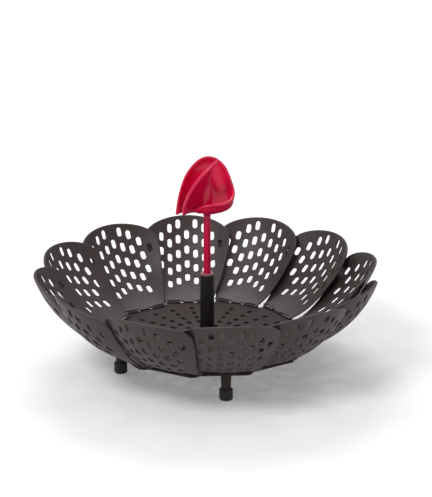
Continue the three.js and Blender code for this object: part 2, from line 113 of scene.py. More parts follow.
# Tube with its flange, nut and collar
TUBE_BOTTOM, TUBE_TOP = 13.5, 79.8
TUBE_RADIUS, TUBE_BORE, TUBE_HOLE = 5.8, 4.8, 6.1
TUBE_EDGE, TUBE_LIP = 0.3, 0.35
MOUTH_EDGE_ACROSS, MOUTH_EDGE_DOWN = 0.15, 0.2
FLANGE_RADIUS, FLANGE_HEIGHT = 8.6, 1.8
FLANGE_CORNER, FLANGE_FILLET = 0.5, 1
NUT_RADIUS, NUT_THICKNESS, NUT_EDGE = 9.7, 5, 0.5
COLLAR_RISE, COLLAR_DEPTH = 1.6, 8
COLLAR_RADIUS, COLLAR_CORNER = 5.2, 0.7
COLLAR_BORE, COLLAR_LIP = 3.2, 0.3
SLEEVE_RADIUS = 4.5

# Stem with the peg that holds its stop
STEM_BOTTOM, STEM_TOP = 70.6, 135
STEM_RADIUS, RIB_THICKNESS = 2.85, 1.9
STEM_CORNER, STEM_EDGE = 0.3, 0.2
PEG_RADIUS, PEG_REACH = 1.4, 2.2
STOP_RADIUS, STOP_LENGTH = 4.45, 3.4
STOP_BOTTOM_EDGE, STOP_TOP_EDGE = 0.5, 0.4
SOCKET_RADIUS, SOCKET_DEPTH = 1.7, 2.5

# Grip: a shell that curls round the back of the core and forward as a cup for the thumb, and a
# leaf in front of it, with a bead along both rims. Points are [right, back, up] from its bottom,
# and the beads' sizes are shares of BEAD_RADIUS along the rim. All of it is fused by voxels and
# then eased in rounds of smoothing.
GRIP_BOTTOM = 131
CORE_PROFILE = [
    (0, -1.2), (3, -1.2), (3.2, -0.6), (3.45, 0.4), (3.9, 1.6), (4.4, 2.6), (4.8, 3.6), (4.8, 6.5),
    (3.6, 20), (3.3, 27.6), (2.6, 29.4), (1.2, 30.3), (0, 30.5),
]
SHELL_ROOT = [
    (-1.5, 1, 5), (-1, 1.2, 17.5), (0.6, 2.5, 28), (2.7, 2.7, 23), (3, 1.2, 14.5), (1.6, -1.3, 9),
    (-0.8, -2, 6), (-5, -3.5, 4),
]
SHELL_RIM = [
    (-24.6, 0, -0.6), (-21.8, 2.2, 16), (-16.4, 6, 30.8), (-8.8, 9.6, 40), (-1, 12, 43.7),
    (7, 13.5, 42.1), (14.2, 13, 35.4), (18.7, 9.5, 25.8), (21, 3, 19.2), (21, -2, 15.6),
    (18.6, -7.5, 13), (14.6, -10.8, 11.6), (9.6, -12.4, 11.1), (4.2, -13, 10.9),
    (-1.5, -12.6, 10), (-6.2, -10.6, 7.8), (-10.5, -7.6, 4.4),
]
SHELL_SWELL = [
    (0, 0, 0), (0, 0, 0), (0, 0, 0), (0, 0, 0), (0, 0, 0), (0, 0, 0), (0, 0, 0), (1, -1, -1),
    (4, -4, -3), (7, -6.5, -4.2), (6, -5.5, -1.4), (4, -3, 0.6), (1, 0, 0.8), (0, 0, 1.4),
    (0, 0, 3.5), (0, 1.5, 6.5), (0, 3, 9),
]
SHELL_BEAD = [0.7, 0.7, 0.7, 0.7, 0.8, 1, 1, 0.9, 0.6]
SHELL_BELLY, SHELL_CUTS = 6.4, 100
LEAF_ROOT = [(-1.5, -1, 1), (0, -1.5, 14), (2, -1.5, 22), (3, -2, 29)]
LEAF_RIM = [
    (-18.9, -13, 3), (-16.3, -14.5, 15), (-10.9, -15, 26), (-3.3, -14.5, 36), (4.2, -12.5, 43.4),
    (9.6, -9, 47.6),
]
LEAF_SWELL = [(0, 0, 0), (0, 0, 0)]
LEAF_BEAD = [0.7, 1, 1, 1, 0.9, 0.7]
LEAF_BELLY, LEAF_CUTS = 3, 40
SHEET_THICKNESS, SHEET_CUTS_ACROSS = 2.2, 18
BEAD_RADIUS, BEAD_STEPS = 1.6, 110
GRIP_VOXEL, GRIP_EASING = 0.335, 16

# Studio, in metres: the floor's width, where the camera stands, and what it and the lights look
# at. Lens and sensor are millimetres.
LIGHT_AIM = (0, 0, 0.06)
CAMERA_PLACE = (0, -1.3305, 0.5447)
CAMERA_AIM = (0.0072, 0, 0.10173)
CAMERA_LENS, CAMERA_SENSOR = 125.56, 36
FLOOR_SIZE = 16


# sRGB hex colour as linear values
def linear(colour):
    channels = [int(colour[i:i + 2], 16) / 255 for i in (1, 3, 5)]
    return [c / 12.92 if c <= 0.04045 else ((c + 0.055) / 1.055) ** 2.4 for c in channels] + [1]


# Adds a node with its settings, socket values and links
def add_node(tree, kind, values={}, links={}, **settings):
    made = tree.nodes.new(kind)
    for name, value in settings.items():
        setattr(made, name, value)
    for socket, value in values.items():
        made.inputs[socket].default_value = value
    for socket, (source, output) in links.items():
        tree.links.new(source.outputs[output], made.inputs[socket])
    return made


# New material with its shader and object coordinates
def new_material(name, values):
    material = bpy.data.materials.new(name)
    material.use_nodes = True
    tree = material.node_tree
    tree.nodes.clear()
    place = add_node(tree, "ShaderNodeTexCoord")
    shader = add_node(tree, "ShaderNodeBsdfPrincipled", values)
    add_node(tree, "ShaderNodeOutputMaterial", links={"Surface": (shader, "BSDF")})
    return material, tree, place, shader


# 1 for rays that show what the camera, a glossy surface or a clear one looks at, otherwise 0
def sight_rays(tree):
    ray = add_node(tree, "ShaderNodeLightPath")
    seen = add_node(tree, "ShaderNodeMath", {},
                    {0: (ray, "Is Camera Ray"), 1: (ray, "Is Glossy Ray")}, operation="MAXIMUM")
    return add_node(tree, "ShaderNodeMath", {},
                    {0: (seen, "Value"), 1: (ray, "Is Transmission Ray")}, operation="MAXIMUM")


# Leaves only these pieces selected
def only(*pieces):
    bpy.ops.object.select_all(action="DESELECT")
    for piece in pieces:
        piece.select_set(True)
    bpy.context.view_layer.objects.active = pieces[0]


# Makes every modifier of a piece part of its mesh
def apply_modifiers(piece):
    only(piece)
    for modifier in list(piece.modifiers):
        bpy.ops.object.modifier_apply(modifier=modifier.name)


# Smooth faces with crisp corners: the large faces lead the shading
def shade(piece):
    only(piece)
    bpy.ops.object.shade_smooth_by_angle(angle=SHARP_ANGLE)
    weighted = piece.modifiers.new("weighted", "WEIGHTED_NORMAL")
    weighted.mode = "FACE_AREA"
    weighted.keep_sharp = True
    apply_modifiers(piece)


# One piece from several, without fusing them
def joined(name, *pieces):
    only(*pieces)
    bpy.ops.object.join()
    pieces[0].name = name
    pieces[0].data.name = name
    return pieces[0]


# Copy with a mesh of its own, moved to its place in that mesh
def copied(piece, name, place):
    copy = piece.copy()
    copy.data = piece.data.copy()
    copy.name = copy.data.name = name
    bpy.context.scene.collection.objects.link(copy)
    copy.data.transform(place)
    return copy


def discard(piece):
    bpy.data.objects.remove(piece, do_unlink=True)


# Merges doubled points and turns all faces outwards
def cleaned(piece):
    only(piece)
    bpy.ops.object.mode_set(mode="EDIT")
    bpy.ops.mesh.select_all(action="SELECT")
    bpy.ops.mesh.remove_doubles(threshold=WELD_DISTANCE * MM)
    bpy.ops.mesh.normals_make_consistent(inside=False)
    bpy.ops.object.mode_set(mode="OBJECT")
    return piece


# Flat plate from closed outlines, centred on its thickness, with edges rounded by this much
def plate(name, outlines, thickness, edge):
    curve = bpy.data.curves.new(name, "CURVE")
    curve.dimensions = "2D"
    curve.fill_mode = "BOTH"
    curve.extrude = (thickness / 2 - edge) * MM
    curve.bevel_depth = edge * MM
    curve.bevel_resolution = 1
    curve.offset = -edge * MM
    for outline in outlines:
        spline = curve.splines.new("POLY")
        spline.points.add(len(outline) - 1)
        for point, (x, y) in zip(spline.points, outline):
            point.co = (x * MM, y * MM, 0, 1)
        spline.use_cyclic_u = True
    piece = bpy.data.objects.new(name, curve)
    bpy.context.scene.collection.objects.link(piece)
    only(piece)
    bpy.ops.object.convert(target="MESH")
    return cleaned(bpy.context.view_layer.objects.active)


# Cuts the faces of a piece along evenly spaced planes, so that it can bend
def sliced(piece, axis, start, end):
    only(piece)
    bpy.ops.object.mode_set(mode="EDIT")
    normal = [0, 0, 0]
    normal[axis] = 1
    count = int(round((end - start) / CUT_STEP))
    for i in range(1, count):
        point = [0, 0, 0]
        point[axis] = (start + (end - start) * i / count) * MM
        bpy.ops.mesh.select_all(action="SELECT")
        bpy.ops.mesh.bisect(plane_co=point, plane_no=normal)
    bpy.ops.object.mode_set(mode="OBJECT")


# Turned piece from a profile of [radius, height] points, which starts and ends on the axis or is
# closed
def turned(name, profile, steps=ROUND_STEPS, close=False):
    mesh = bpy.data.meshes.new(name)
    points = [(radius * MM, 0, height * MM) for radius, height in profile]
    edges = [(i, i + 1) for i in range(len(points) - 1)]
    if close:
        edges.append((len(points) - 1, 0))
    mesh.from_pydata(points, edges, [])
    piece = bpy.data.objects.new(name, mesh)
    bpy.context.scene.collection.objects.link(piece)
    only(piece)
    bpy.ops.object.mode_set(mode="EDIT")
    bpy.ops.mesh.select_all(action="SELECT")
    bpy.ops.mesh.spin(steps=steps, angle=2 * math.pi, center=(0, 0, 0), axis=(0, 0, 1))
    bpy.ops.object.mode_set(mode="OBJECT")
    return cleaned(piece)


# Round rod along a line of points, with its radius as a share at each of them
def rod(name, points, shares, radius):
    curve = bpy.data.curves.new(name, "CURVE")
    curve.dimensions = "3D"
    curve.bevel_depth = radius * MM
    curve.bevel_resolution = 3
    curve.use_fill_caps = True
    spline = curve.splines.new("POLY")
    spline.points.add(len(points) - 1)
    for point, (x, y, z), share in zip(spline.points, points, shares):
        point.co = (x * MM, y * MM, z * MM, 1)
        point.radius = share
    piece = bpy.data.objects.new(name, curve)
    bpy.context.scene.collection.objects.link(piece)
    only(piece)
    bpy.ops.object.convert(target="MESH")
    return bpy.context.view_layer.objects.active


# Points of an arc, with its angles in degrees
def arc(x, y, radius, start, end, count):
    points = []
    for i in range(count + 1):
        angle = math.radians(start + (end - start) * i / count)
        points.append((x + radius * math.cos(angle), y + radius * math.sin(angle)))
    return points


# Half width of the petal at a distance from the hinge, below its widest place
def petal_side(distance):
    share = max(0, (distance - PETAL_FOOT_STRAIGHT) / (PETAL_WIDEST_AT - PETAL_FOOT_STRAIGHT))
    rise = 1 - (1 - share) ** 1.5
    return PETAL_FOOT_HALF_WIDTH + (PETAL_HALF_WIDTH - PETAL_FOOT_HALF_WIDTH) * rise


# Open line from the right corner of the foot round the tip to the left corner, drawn inside the
# petal's edge by the radius of its round rim
def petal_rim_line():
    line = []
    for i in range(SIDE_STEPS):
        distance = PETAL_FOOT_STRAIGHT + (PETAL_WIDEST_AT - PETAL_FOOT_STRAIGHT) * i / SIDE_STEPS
        line.append((petal_side(distance), distance))
    for i in range(TIP_STEPS):
        angle = math.pi / 2 * i / TIP_STEPS
        rise = (PETAL_LENGTH - PETAL_WIDEST_AT) * math.sin(angle)
        line.append((PETAL_HALF_WIDTH * math.cos(angle), PETAL_WIDEST_AT + rise))
    line += [(0, PETAL_LENGTH)] + [(-x, y) for x, y in reversed(line)]
    inset = []
    for i, (x, y) in enumerate(line):
        before, after = line[max(i - 1, 0)], line[min(i + 1, len(line) - 1)]
        way = Vector((after[0] - before[0], after[1] - before[1])).normalized()
        inset.append((x - way.y * PETAL_THICKNESS / 2, y + way.x * PETAL_THICKNESS / 2))
    return inset


# Closed outline of the petal, with the notches and windows round its hinge bars
def petal_outline(rim_line):
    right = [
        (NOTCH_INNER, PETAL_FOOT_BOTTOM),
        (NOTCH_INNER, NOTCH_HEIGHT),
        (BAR_INNER, NOTCH_HEIGHT),
        (BAR_INNER, 0),
        (WINDOW_INNER, 0),
        (WINDOW_INNER, WINDOW_HEIGHT),
        (WINDOW_OUTER, WINDOW_HEIGHT),
        (WINDOW_OUTER, 0),
        (BAR_OUTER, 0),
    ]
    right += arc(PETAL_FOOT_HALF_WIDTH - PETAL_FOOT_CORNER, PETAL_FOOT_BOTTOM + PETAL_FOOT_CORNER,
                 PETAL_FOOT_CORNER, -90, 0, 5)
    left = [(-x, y) for x, y in reversed(right)]
    return right + rim_line + left


# Slot with round ends, long along y
def slot_outline(x, y):
    radius = SLOT_WIDTH / 2
    straight = SLOT_LENGTH / 2 - radius
    return arc(x, y + straight, radius, 0, 180, 8) + arc(x, y - straight, radius, 180, 360, 8)


# Where a point of the flat petal goes: the spine rises on an arc, and the section closes in on
# another that grows from straight at the hinge
def bent(across, along, offset):
    tilt = along / SPINE_RADIUS
    settled = min(1, max(0, along / SECTION_SETTLES_AT))
    bend = (1 - (1 - settled) ** 2) / SECTION_RADIUS
    turn = across * bend
    sideways, inward = across, offset
    if abs(turn) > 1e-9:
        sideways = math.sin(turn) / bend - offset * math.sin(turn)
        inward = (1 - math.cos(turn)) / bend + offset * math.cos(turn)
    rise = SPINE_RADIUS * (1 - math.cos(tilt)) + inward * math.cos(tilt)
    return sideways, (SPINE_RADIUS - inward) * math.sin(tilt), rise


# Frame of one hinge: x along its bars, y outwards
def hinge_frame(index, height):
    azimuth = 2 * math.pi * index / PETALS - PETAL_PHASE
    out = Matrix.Translation((0, HINGE_RADIUS * MM, height * MM))
    return Matrix.Rotation(-azimuth, 4, "Z") @ out @ Matrix.Rotation(-HINGE_SKEW, 4, "Z")


# Petal with its foot on the x axis, before it is tilted. The bend is a formula, because no
# modifier closes a section more and more along the length.
def petal_blank():
    rim_line = petal_rim_line()
    outlines = [petal_outline(rim_line)]
    for column, (start, rows) in enumerate(SLOT_COLUMNS):
        for side in [1] if column == 0 else [-1, 1]:
            for row in range(rows):
                x = side * column * SLOT_COLUMN_PITCH
                outlines.append(slot_outline(x, start + SLOT_ROW_PITCH * row))
    petal = plate("petal", outlines, PETAL_THICKNESS, SLOT_RIM)
    rim = rod("rim", [(x, y, 0) for x, y in rim_line], [1] * len(rim_line), PETAL_THICKNESS / 2)
    petal = joined("petal", petal, rim)
    sliced(petal, 0, -PETAL_HALF_WIDTH, PETAL_HALF_WIDTH)
    sliced(petal, 1, 0, PETAL_LENGTH)
    for vertex in petal.data.vertices:
        vertex.co = Vector(bent(*(vertex.co / MM))) * MM
    bars = []
    for side in (-1, 1):
        bpy.ops.mesh.primitive_cylinder_add(
            vertices=COARSE_STEPS,
            radius=BAR_RADIUS * MM,
            depth=(BAR_OUTER - BAR_INNER) * MM,
            location=(side * (BAR_INNER + BAR_OUTER) / 2 * MM, 0, 0),
            rotation=(0, math.pi / 2, 0),
        )
        bar = bpy.context.view_layer.objects.active
        bpy.ops.object.transform_apply(location=True, rotation=True, scale=True)
        rounded = bar.modifiers.new("rounded", "BEVEL")
        rounded.width = BAR_EDGE * MM
        rounded.segments = 2
        rounded.limit_method = "ANGLE"
        apply_modifiers(bar)
        bars.append(bar)
    petal = joined("petal", petal, *bars)
    shade(petal)
    return petal


# Rectangle with round corners
def rectangle_outline(x, y, width, length, corner):
    half_width, half_length = width / 2 - corner, length / 2 - corner
    points = []
    for start, (side, end) in zip((0, 90, 180, 270), ((1, 1), (-1, 1), (-1, -1), (1, -1))):
        points += arc(x + side * half_width, y + end * half_length, corner, start, start + 90, 4)
    return points


# Turns flat points clockwise round the middle
def turned_points(points, azimuth):
    cosine, sine = math.cos(azimuth), math.sin(azimuth)
    return [(x * cosine + y * sine, -x * sine + y * cosine) for x, y in points]


# Saw-toothed outline, one straight side for each petal, with its outer corner cut off
def floor_edge(outset, corner):
    edge = []
    for i in range(PETALS):
        frame_here = hinge_frame(i, 0)
        for along, outward in ((-TOOTH_LEADING, outset - corner), (corner - TOOTH_LEADING, outset),
                               (TOOTH_TRAILING, outset)):
            point = frame_here @ Vector((along * MM, outward * MM, 0))
            edge.append((point.x / MM, point.y / MM))
    return edge


# Edge of the floor's plate, the hole for the tube and the drain slots
def floor_outlines():
    outlines = [floor_edge(-STEP_INSET, STEP_CORNER), arc(0, 0, TUBE_HOLE, 0, 352.5, 47)]
    for line in range(DRAIN_LINES):
        azimuth = 2 * math.pi * line / DRAIN_LINES - PETAL_PHASE
        for radius, skip in DRAIN_RINGS:
            if line % skip == 0:
                drain = rectangle_outline(0, radius, DRAIN_WIDTH, DRAIN_LENGTH, DRAIN_CORNER)
                outlines.append(turned_points(drain, azimuth))
    return outlines


# C-shaped clip on a block, drawn across the hinge
def clip_outline():
    outer = arc(0, 0, CLIP_RADIUS, 100, 180, 10)
    block = [(-CLIP_RADIUS, CLIP_BOTTOM), (CLIP_RADIUS, CLIP_BOTTOM)]
    nib = arc(0, 0, CLIP_RADIUS, 0, 20, 3)
    bore = arc(0, 0, CLIP_BORE, 20, -260, 28)
    return outer + block + nib + bore


# Floor with its ledge, clips and legs
def floor_piece():
    floor = plate("floor", floor_outlines(), FLOOR_THICKNESS, FLOOR_EDGE)
    floor.data.transform(Matrix.Translation((0, 0, (FLOOR_TOP - FLOOR_THICKNESS / 2) * MM)))
    ledge_top, ledge_bottom = FLOOR_TOP - LEDGE_DROP, FLOOR_BOTTOM + LEDGE_SINK
    edges = [floor_edge(LEDGE_OUTSET, LEDGE_CORNER), arc(0, 0, LEDGE_BORE, 0, 355, 71)]
    ledge = plate("ledge", edges, ledge_top - ledge_bottom, LEDGE_EDGE)
    ledge.data.transform(Matrix.Translation((0, 0, (ledge_top + ledge_bottom) / 2 * MM)))
    clip = plate("clip", [clip_outline()], CLIP_OUTER - CLIP_INNER, CLIP_EDGE)
    across = Matrix(((0, 0, 1, 0), (1, 0, 0, 0), (0, 1, 0, 0), (0, 0, 0, 1)))
    parts = [floor, ledge]
    for i in range(PETALS):
        for side in (-1, 1):
            shift = Matrix.Translation((side * (CLIP_INNER + CLIP_OUTER) / 2 * MM, 0, 0))
            place = hinge_frame(i, HINGE_HEIGHT) @ shift @ across
            parts.append(copied(clip, "clip", place))
    discard(clip)
    root, neck = LEG_TOP_RADIUS + LEG_FILLET, FLOOR_BOTTOM - LEG_FILLET
    profile = [(0, LEG_BOTTOM), (LEG_BOTTOM_RADIUS, LEG_BOTTOM), (LEG_TOP_RADIUS, neck)]
    profile += arc(root, neck, LEG_FILLET, 180, 90, 6)
    profile += [(root, FLOOR_BOTTOM + LEG_SINK), (0, FLOOR_BOTTOM + LEG_SINK)]
    leg = turned("leg", profile)
    for i in range(FEET):
        parts.append(copied(leg, "leg", Matrix.Translation(foot_point(i))))
    discard(leg)
    floor = joined("floor_with_clips", *parts)
    shade(floor)
    return floor


# Where a foot stands, in metres
def foot_point(index):
    azimuth = 2 * math.pi * index / FEET - PETAL_PHASE
    return FOOT_RADIUS * math.sin(azimuth) * MM, FOOT_RADIUS * math.cos(azimuth) * MM, 0


# Point of a smooth line through the given points, at a share of their number
def line_point(points, share):
    points = [Vector(p) for p in points]
    place = min(max(share, 0), 1) * (len(points) - 1)
    index = min(int(place), len(points) - 2)
    weight = place - index
    start, end = points[index], points[index + 1]
    before = points[index - 1] if index > 0 else 2 * start - end
    after = points[index + 2] if index + 2 < len(points) else 2 * end - start
    pairs = ((before, start), (start, end), (end, after))
    spans = [max((b - a).length, 1e-6) ** 0.5 for a, b in pairs]
    leave = (start - before) / spans[0] - (end - before) / (spans[0] + spans[1])
    leave = (leave + (end - start) / spans[1]) * spans[1]
    arrive = (end - start) / spans[1] - (after - start) / (spans[1] + spans[2])
    arrive = (arrive + (after - end) / spans[2]) * spans[1]
    square, cube = weight ** 2, weight ** 3
    bend = 3 * (end - start) - 2 * leave - arrive
    return start + leave * weight + bend * square + (2 * (start - end) + leave + arrive) * cube


# Curved sheet between a root and a rim line, with a belly between them and a swelling added to it
def sheet(name, root, rim, belly, swell, cuts):
    bpy.ops.mesh.primitive_grid_add(x_subdivisions=SHEET_CUTS_ACROSS, y_subdivisions=cuts, size=1)
    piece = bpy.context.view_layer.objects.active
    piece.name = name
    for vertex in piece.data.vertices:
        across, along = vertex.co.x + 0.5, vertex.co.y + 0.5
        start, end = line_point(root, along), line_point(rim, along)
        way = line_point(rim, along + 1e-4) - line_point(rim, along - 1e-4)
        aside = (end - start).cross(way).normalized() * 2 * belly + line_point(swell, along)
        point = start.lerp(end, across) + aside * (2 * across * (1 - across))
        vertex.co = point * MM
    wall = piece.modifiers.new("wall", "SOLIDIFY")
    wall.thickness = SHEET_THICKNESS * MM
    wall.offset = 0
    apply_modifiers(piece)
    return piece


# Round bead along a line, with shares of its radius spread along it
def bead(name, line, shares):
    marks = [(share, 0, 0) for share in shares]
    points = [line_point(line, i / BEAD_STEPS) for i in range(BEAD_STEPS + 1)]
    sizes = [line_point(marks, i / BEAD_STEPS).x for i in range(BEAD_STEPS + 1)]
    return rod(name, points, sizes, BEAD_RADIUS)


# Core, shell, leaf and beads, fused into one skin
def grip_piece():
    core = turned("core", CORE_PROFILE)
    shell = sheet("shell", SHELL_ROOT, SHELL_RIM, SHELL_BELLY, SHELL_SWELL, SHELL_CUTS)
    leaf = sheet("leaf", LEAF_ROOT, LEAF_RIM, LEAF_BELLY, LEAF_SWELL, LEAF_CUTS)
    leaf_bead = bead("leaf_bead", LEAF_RIM, LEAF_BEAD)
    shell_bead = bead("shell_bead", SHELL_RIM, SHELL_BEAD)
    grip = joined("leaf_grip", core, shell, leaf, leaf_bead, shell_bead)
    fused = grip.modifiers.new("fused", "REMESH")
    fused.mode = "VOXEL"
    fused.voxel_size = GRIP_VOXEL * MM
    eased = grip.modifiers.new("eased", "SMOOTH")
    eased.factor = 0.5
    eased.iterations = GRIP_EASING
    apply_modifiers(grip)
    grip.data.transform(Matrix.Translation((0, 0, GRIP_BOTTOM * MM)))
    only(grip)
    bpy.ops.object.shade_smooth()
    return grip


# Stem with four ribs in a cross
def stem_piece():
    rib, reach = RIB_THICKNESS / 2, STEM_RADIUS - STEM_CORNER
    cross = []
    for quarter in range(4):
        ends = arc(reach, rib - STEM_CORNER, STEM_CORNER, 0, 90, 3) + [(rib, rib)]
        ends = arc(reach, -rib + STEM_CORNER, STEM_CORNER, -90, 0, 3) + ends
        cross += turned_points(ends, -math.pi / 2 * quarter)
    stem = plate("stem", [cross], STEM_TOP - STEM_BOTTOM, STEM_EDGE)
    stem.data.transform(Matrix.Translation((0, 0, (STEM_TOP + STEM_BOTTOM) / 2 * MM)))
    low, high = STEM_BOTTOM - PEG_REACH, STEM_BOTTOM + PEG_REACH
    peg = turned("peg", [(0, low), (PEG_RADIUS, low), (PEG_RADIUS, high), (0, high)], COARSE_STEPS)
    stem = joined("ribbed_stem", stem, peg)
    shade(stem)
    return stem


# Tube with a flange that rests on the floor
def tube_piece():
    top = FLOOR_TOP + FLANGE_HEIGHT
    profile = [(TUBE_BORE, TUBE_BOTTOM + TUBE_EDGE), (TUBE_BORE + TUBE_EDGE, TUBE_BOTTOM)]
    profile += [(TUBE_RADIUS - TUBE_EDGE, TUBE_BOTTOM), (TUBE_RADIUS, TUBE_BOTTOM + TUBE_EDGE)]
    profile += [(TUBE_RADIUS, FLOOR_TOP), (FLANGE_RADIUS, FLOOR_TOP)]
    profile += arc(FLANGE_RADIUS - FLANGE_CORNER, top - FLANGE_CORNER, FLANGE_CORNER, 0, 90, 4)
    profile += arc(TUBE_RADIUS + FLANGE_FILLET, top + FLANGE_FILLET, FLANGE_FILLET, 270, 180, 5)
    profile += arc(TUBE_RADIUS - TUBE_LIP, TUBE_TOP - TUBE_LIP, TUBE_LIP, 0, 90, 3)
    profile += [(TUBE_BORE + MOUTH_EDGE_ACROSS, TUBE_TOP), (TUBE_BORE, TUBE_TOP - MOUTH_EDGE_DOWN)]
    tube = turned("centre_tube", profile, FINE_STEPS, close=True)
    shade(tube)
    return tube


# Collar that covers the tube's mouth, with a sleeve down into it
def collar_piece():
    top, bottom = TUBE_TOP + COLLAR_RISE, TUBE_TOP - COLLAR_DEPTH
    profile = [(COLLAR_BORE, bottom), (SLEEVE_RADIUS, bottom)]
    profile += [(SLEEVE_RADIUS, TUBE_TOP), (COLLAR_RADIUS, TUBE_TOP)]
    profile += arc(COLLAR_RADIUS - COLLAR_CORNER, top - COLLAR_CORNER, COLLAR_CORNER, 0, 90, 5)
    profile += arc(COLLAR_BORE + COLLAR_LIP, top - COLLAR_LIP, COLLAR_LIP, 90, 180, 3)
    collar = turned("mouth_collar", profile, FINE_STEPS, close=True)
    shade(collar)
    return collar


# Stop with a socket for the stem's peg
def stop_piece():
    top, bottom, deep = STEM_BOTTOM, STEM_BOTTOM - STOP_LENGTH, STEM_BOTTOM - SOCKET_DEPTH
    profile = [(0, bottom), (STOP_RADIUS - STOP_BOTTOM_EDGE, bottom)]
    profile += [(STOP_RADIUS, bottom + STOP_BOTTOM_EDGE), (STOP_RADIUS, top - STOP_TOP_EDGE)]
    profile += [(STOP_RADIUS - STOP_TOP_EDGE, top), (SOCKET_RADIUS, top), (SOCKET_RADIUS, deep)]
    stop = turned("end_stop", profile + [(0, deep)])
    shade(stop)
    return stop


# Six-sided nut under the floor
def nut_piece():
    outlines = [arc(0, 0, NUT_RADIUS, 0, 300, 5), arc(0, 0, TUBE_HOLE, 0, 352.5, 47)]
    nut = plate("hexagon_nut", outlines, NUT_THICKNESS, NUT_EDGE)
    nut.data.transform(Matrix.Translation((0, 0, (FLOOR_BOTTOM - NUT_THICKNESS / 2) * MM)))
    shade(nut)
    return nut


# Tip that is pushed over the end of a leg
def foot_tip_blank():
    profile = [(0, 0)]
    profile += arc(TIP_RADIUS - TIP_BOTTOM_CORNER, TIP_BOTTOM_CORNER, TIP_BOTTOM_CORNER, -90, 0, 6)
    profile += arc(TIP_RADIUS - TIP_TOP_CORNER, TIP_TOP - TIP_TOP_CORNER, TIP_TOP_CORNER, 0, 90, 3)
    profile += [(TIP_MOUTH_RADIUS, TIP_TOP), (TIP_BORE_RADIUS, LEG_BOTTOM), (0, LEG_BOTTOM)]
    tip = turned("foot_tip", profile)
    shade(tip)
    return tip


# Heat-resistant nylon, injection moulded with an eroded grain: matt, warm near-black grey, with
# a broad soft sheen and slightly uneven gloss where the mould is worn smoother.
# The real grain is 0.2 mm; it is drawn 0.9 mm wide so that it shows.
def nylon(name, colour, lighter, roughness, gleam):
    material, tree, place, shader = new_material(
        name, {"IOR": 1.53, "Metallic": 0, "Specular IOR Level": gleam})
    cloud = add_node(tree, "ShaderNodeTexNoise", {"Scale": 1 / (30 * MM), "Detail": 3},
                     {"Vector": (place, "Object")})
    tint = add_node(tree, "ShaderNodeValToRGB", links={"Fac": (cloud, "Fac")})
    tint.color_ramp.elements[0].position = 0.35
    tint.color_ramp.elements[0].color = linear(colour)
    tint.color_ramp.elements[1].position = 0.65
    tint.color_ramp.elements[1].color = linear(lighter)
    gloss = add_node(tree, "ShaderNodeMapRange",
                     {"From Min": 0.3, "From Max": 0.7, "To Min": roughness - 0.05,
                      "To Max": roughness + 0.06}, {"Value": (cloud, "Fac")})
    grain = add_node(tree, "ShaderNodeTexNoise", {"Scale": 1 / (0.9 * MM), "Detail": 2},
                     {"Vector": (place, "Object")})
    bump = add_node(tree, "ShaderNodeBump", {"Strength": 0.22, "Distance": 0.06 * MM},
                    {"Height": (grain, "Fac")})
    tree.links.new(tint.outputs["Color"], shader.inputs["Base Color"])
    tree.links.new(gloss.outputs["Result"], shader.inputs["Roughness"])
    tree.links.new(bump.outputs["Normal"], shader.inputs["Normal"])
    return material


# Polypropylene in solid crimson, moulded in a polished tool: clear highlights with a trace of
# flow unevenness, 12 mm across
def polypropylene(name, colour, lighter):
    material, tree, place, shader = new_material(
        name, {"IOR": 1.49, "Metallic": 0, "Specular IOR Level": 0.4,
               "Subsurface Weight": 0.04, "Subsurface Scale": 1 * MM})
    flow = add_node(tree, "ShaderNodeTexNoise", {"Scale": 1 / (12 * MM), "Detail": 2},
                    {"Vector": (place, "Object")})
    tint = add_node(tree, "ShaderNodeValToRGB", links={"Fac": (flow, "Fac")})
    tint.color_ramp.elements[0].position = 0.3
    tint.color_ramp.elements[0].color = linear(colour)
    tint.color_ramp.elements[1].position = 0.7
    tint.color_ramp.elements[1].color = linear(lighter)
    gloss = add_node(tree, "ShaderNodeMapRange",
                     {"From Min": 0.3, "From Max": 0.7, "To Min": 0.22, "To Max": 0.3},
                     {"Value": (flow, "Fac")})
    bump = add_node(tree, "ShaderNodeBump", {"Strength": 0.1, "Distance": 0.05 * MM},
                    {"Height": (flow, "Fac")})
    tree.links.new(tint.outputs["Color"], shader.inputs["Base Color"])
    tree.links.new(gloss.outputs["Result"], shader.inputs["Roughness"])
    tree.links.new(bump.outputs["Normal"], shader.inputs["Normal"])
    return material


# Natural polypropylene tinted pale pink: milky, lets light into its thin wall
def milky_polypropylene(name):
    material, tree, place, shader = new_material(
        name, {"IOR": 1.49, "Metallic": 0, "Transmission Weight": 0.7})
    cloud = add_node(tree, "ShaderNodeTexNoise", {"Scale": 1 / (4 * MM), "Detail": 1},
                     {"Vector": (place, "Object")})
    tint = add_node(tree, "ShaderNodeValToRGB", links={"Fac": (cloud, "Fac")})
    tint.color_ramp.elements[0].color = linear("#cf8a98")
    tint.color_ramp.elements[1].color = linear("#dba2ad")
    gloss = add_node(tree, "ShaderNodeMapRange", {"To Min": 0.38, "To Max": 0.48},
                     {"Value": (cloud, "Fac")})
    tree.links.new(tint.outputs["Color"], shader.inputs["Base Color"])
    tree.links.new(gloss.outputs["Result"], shader.inputs["Roughness"])
    return material


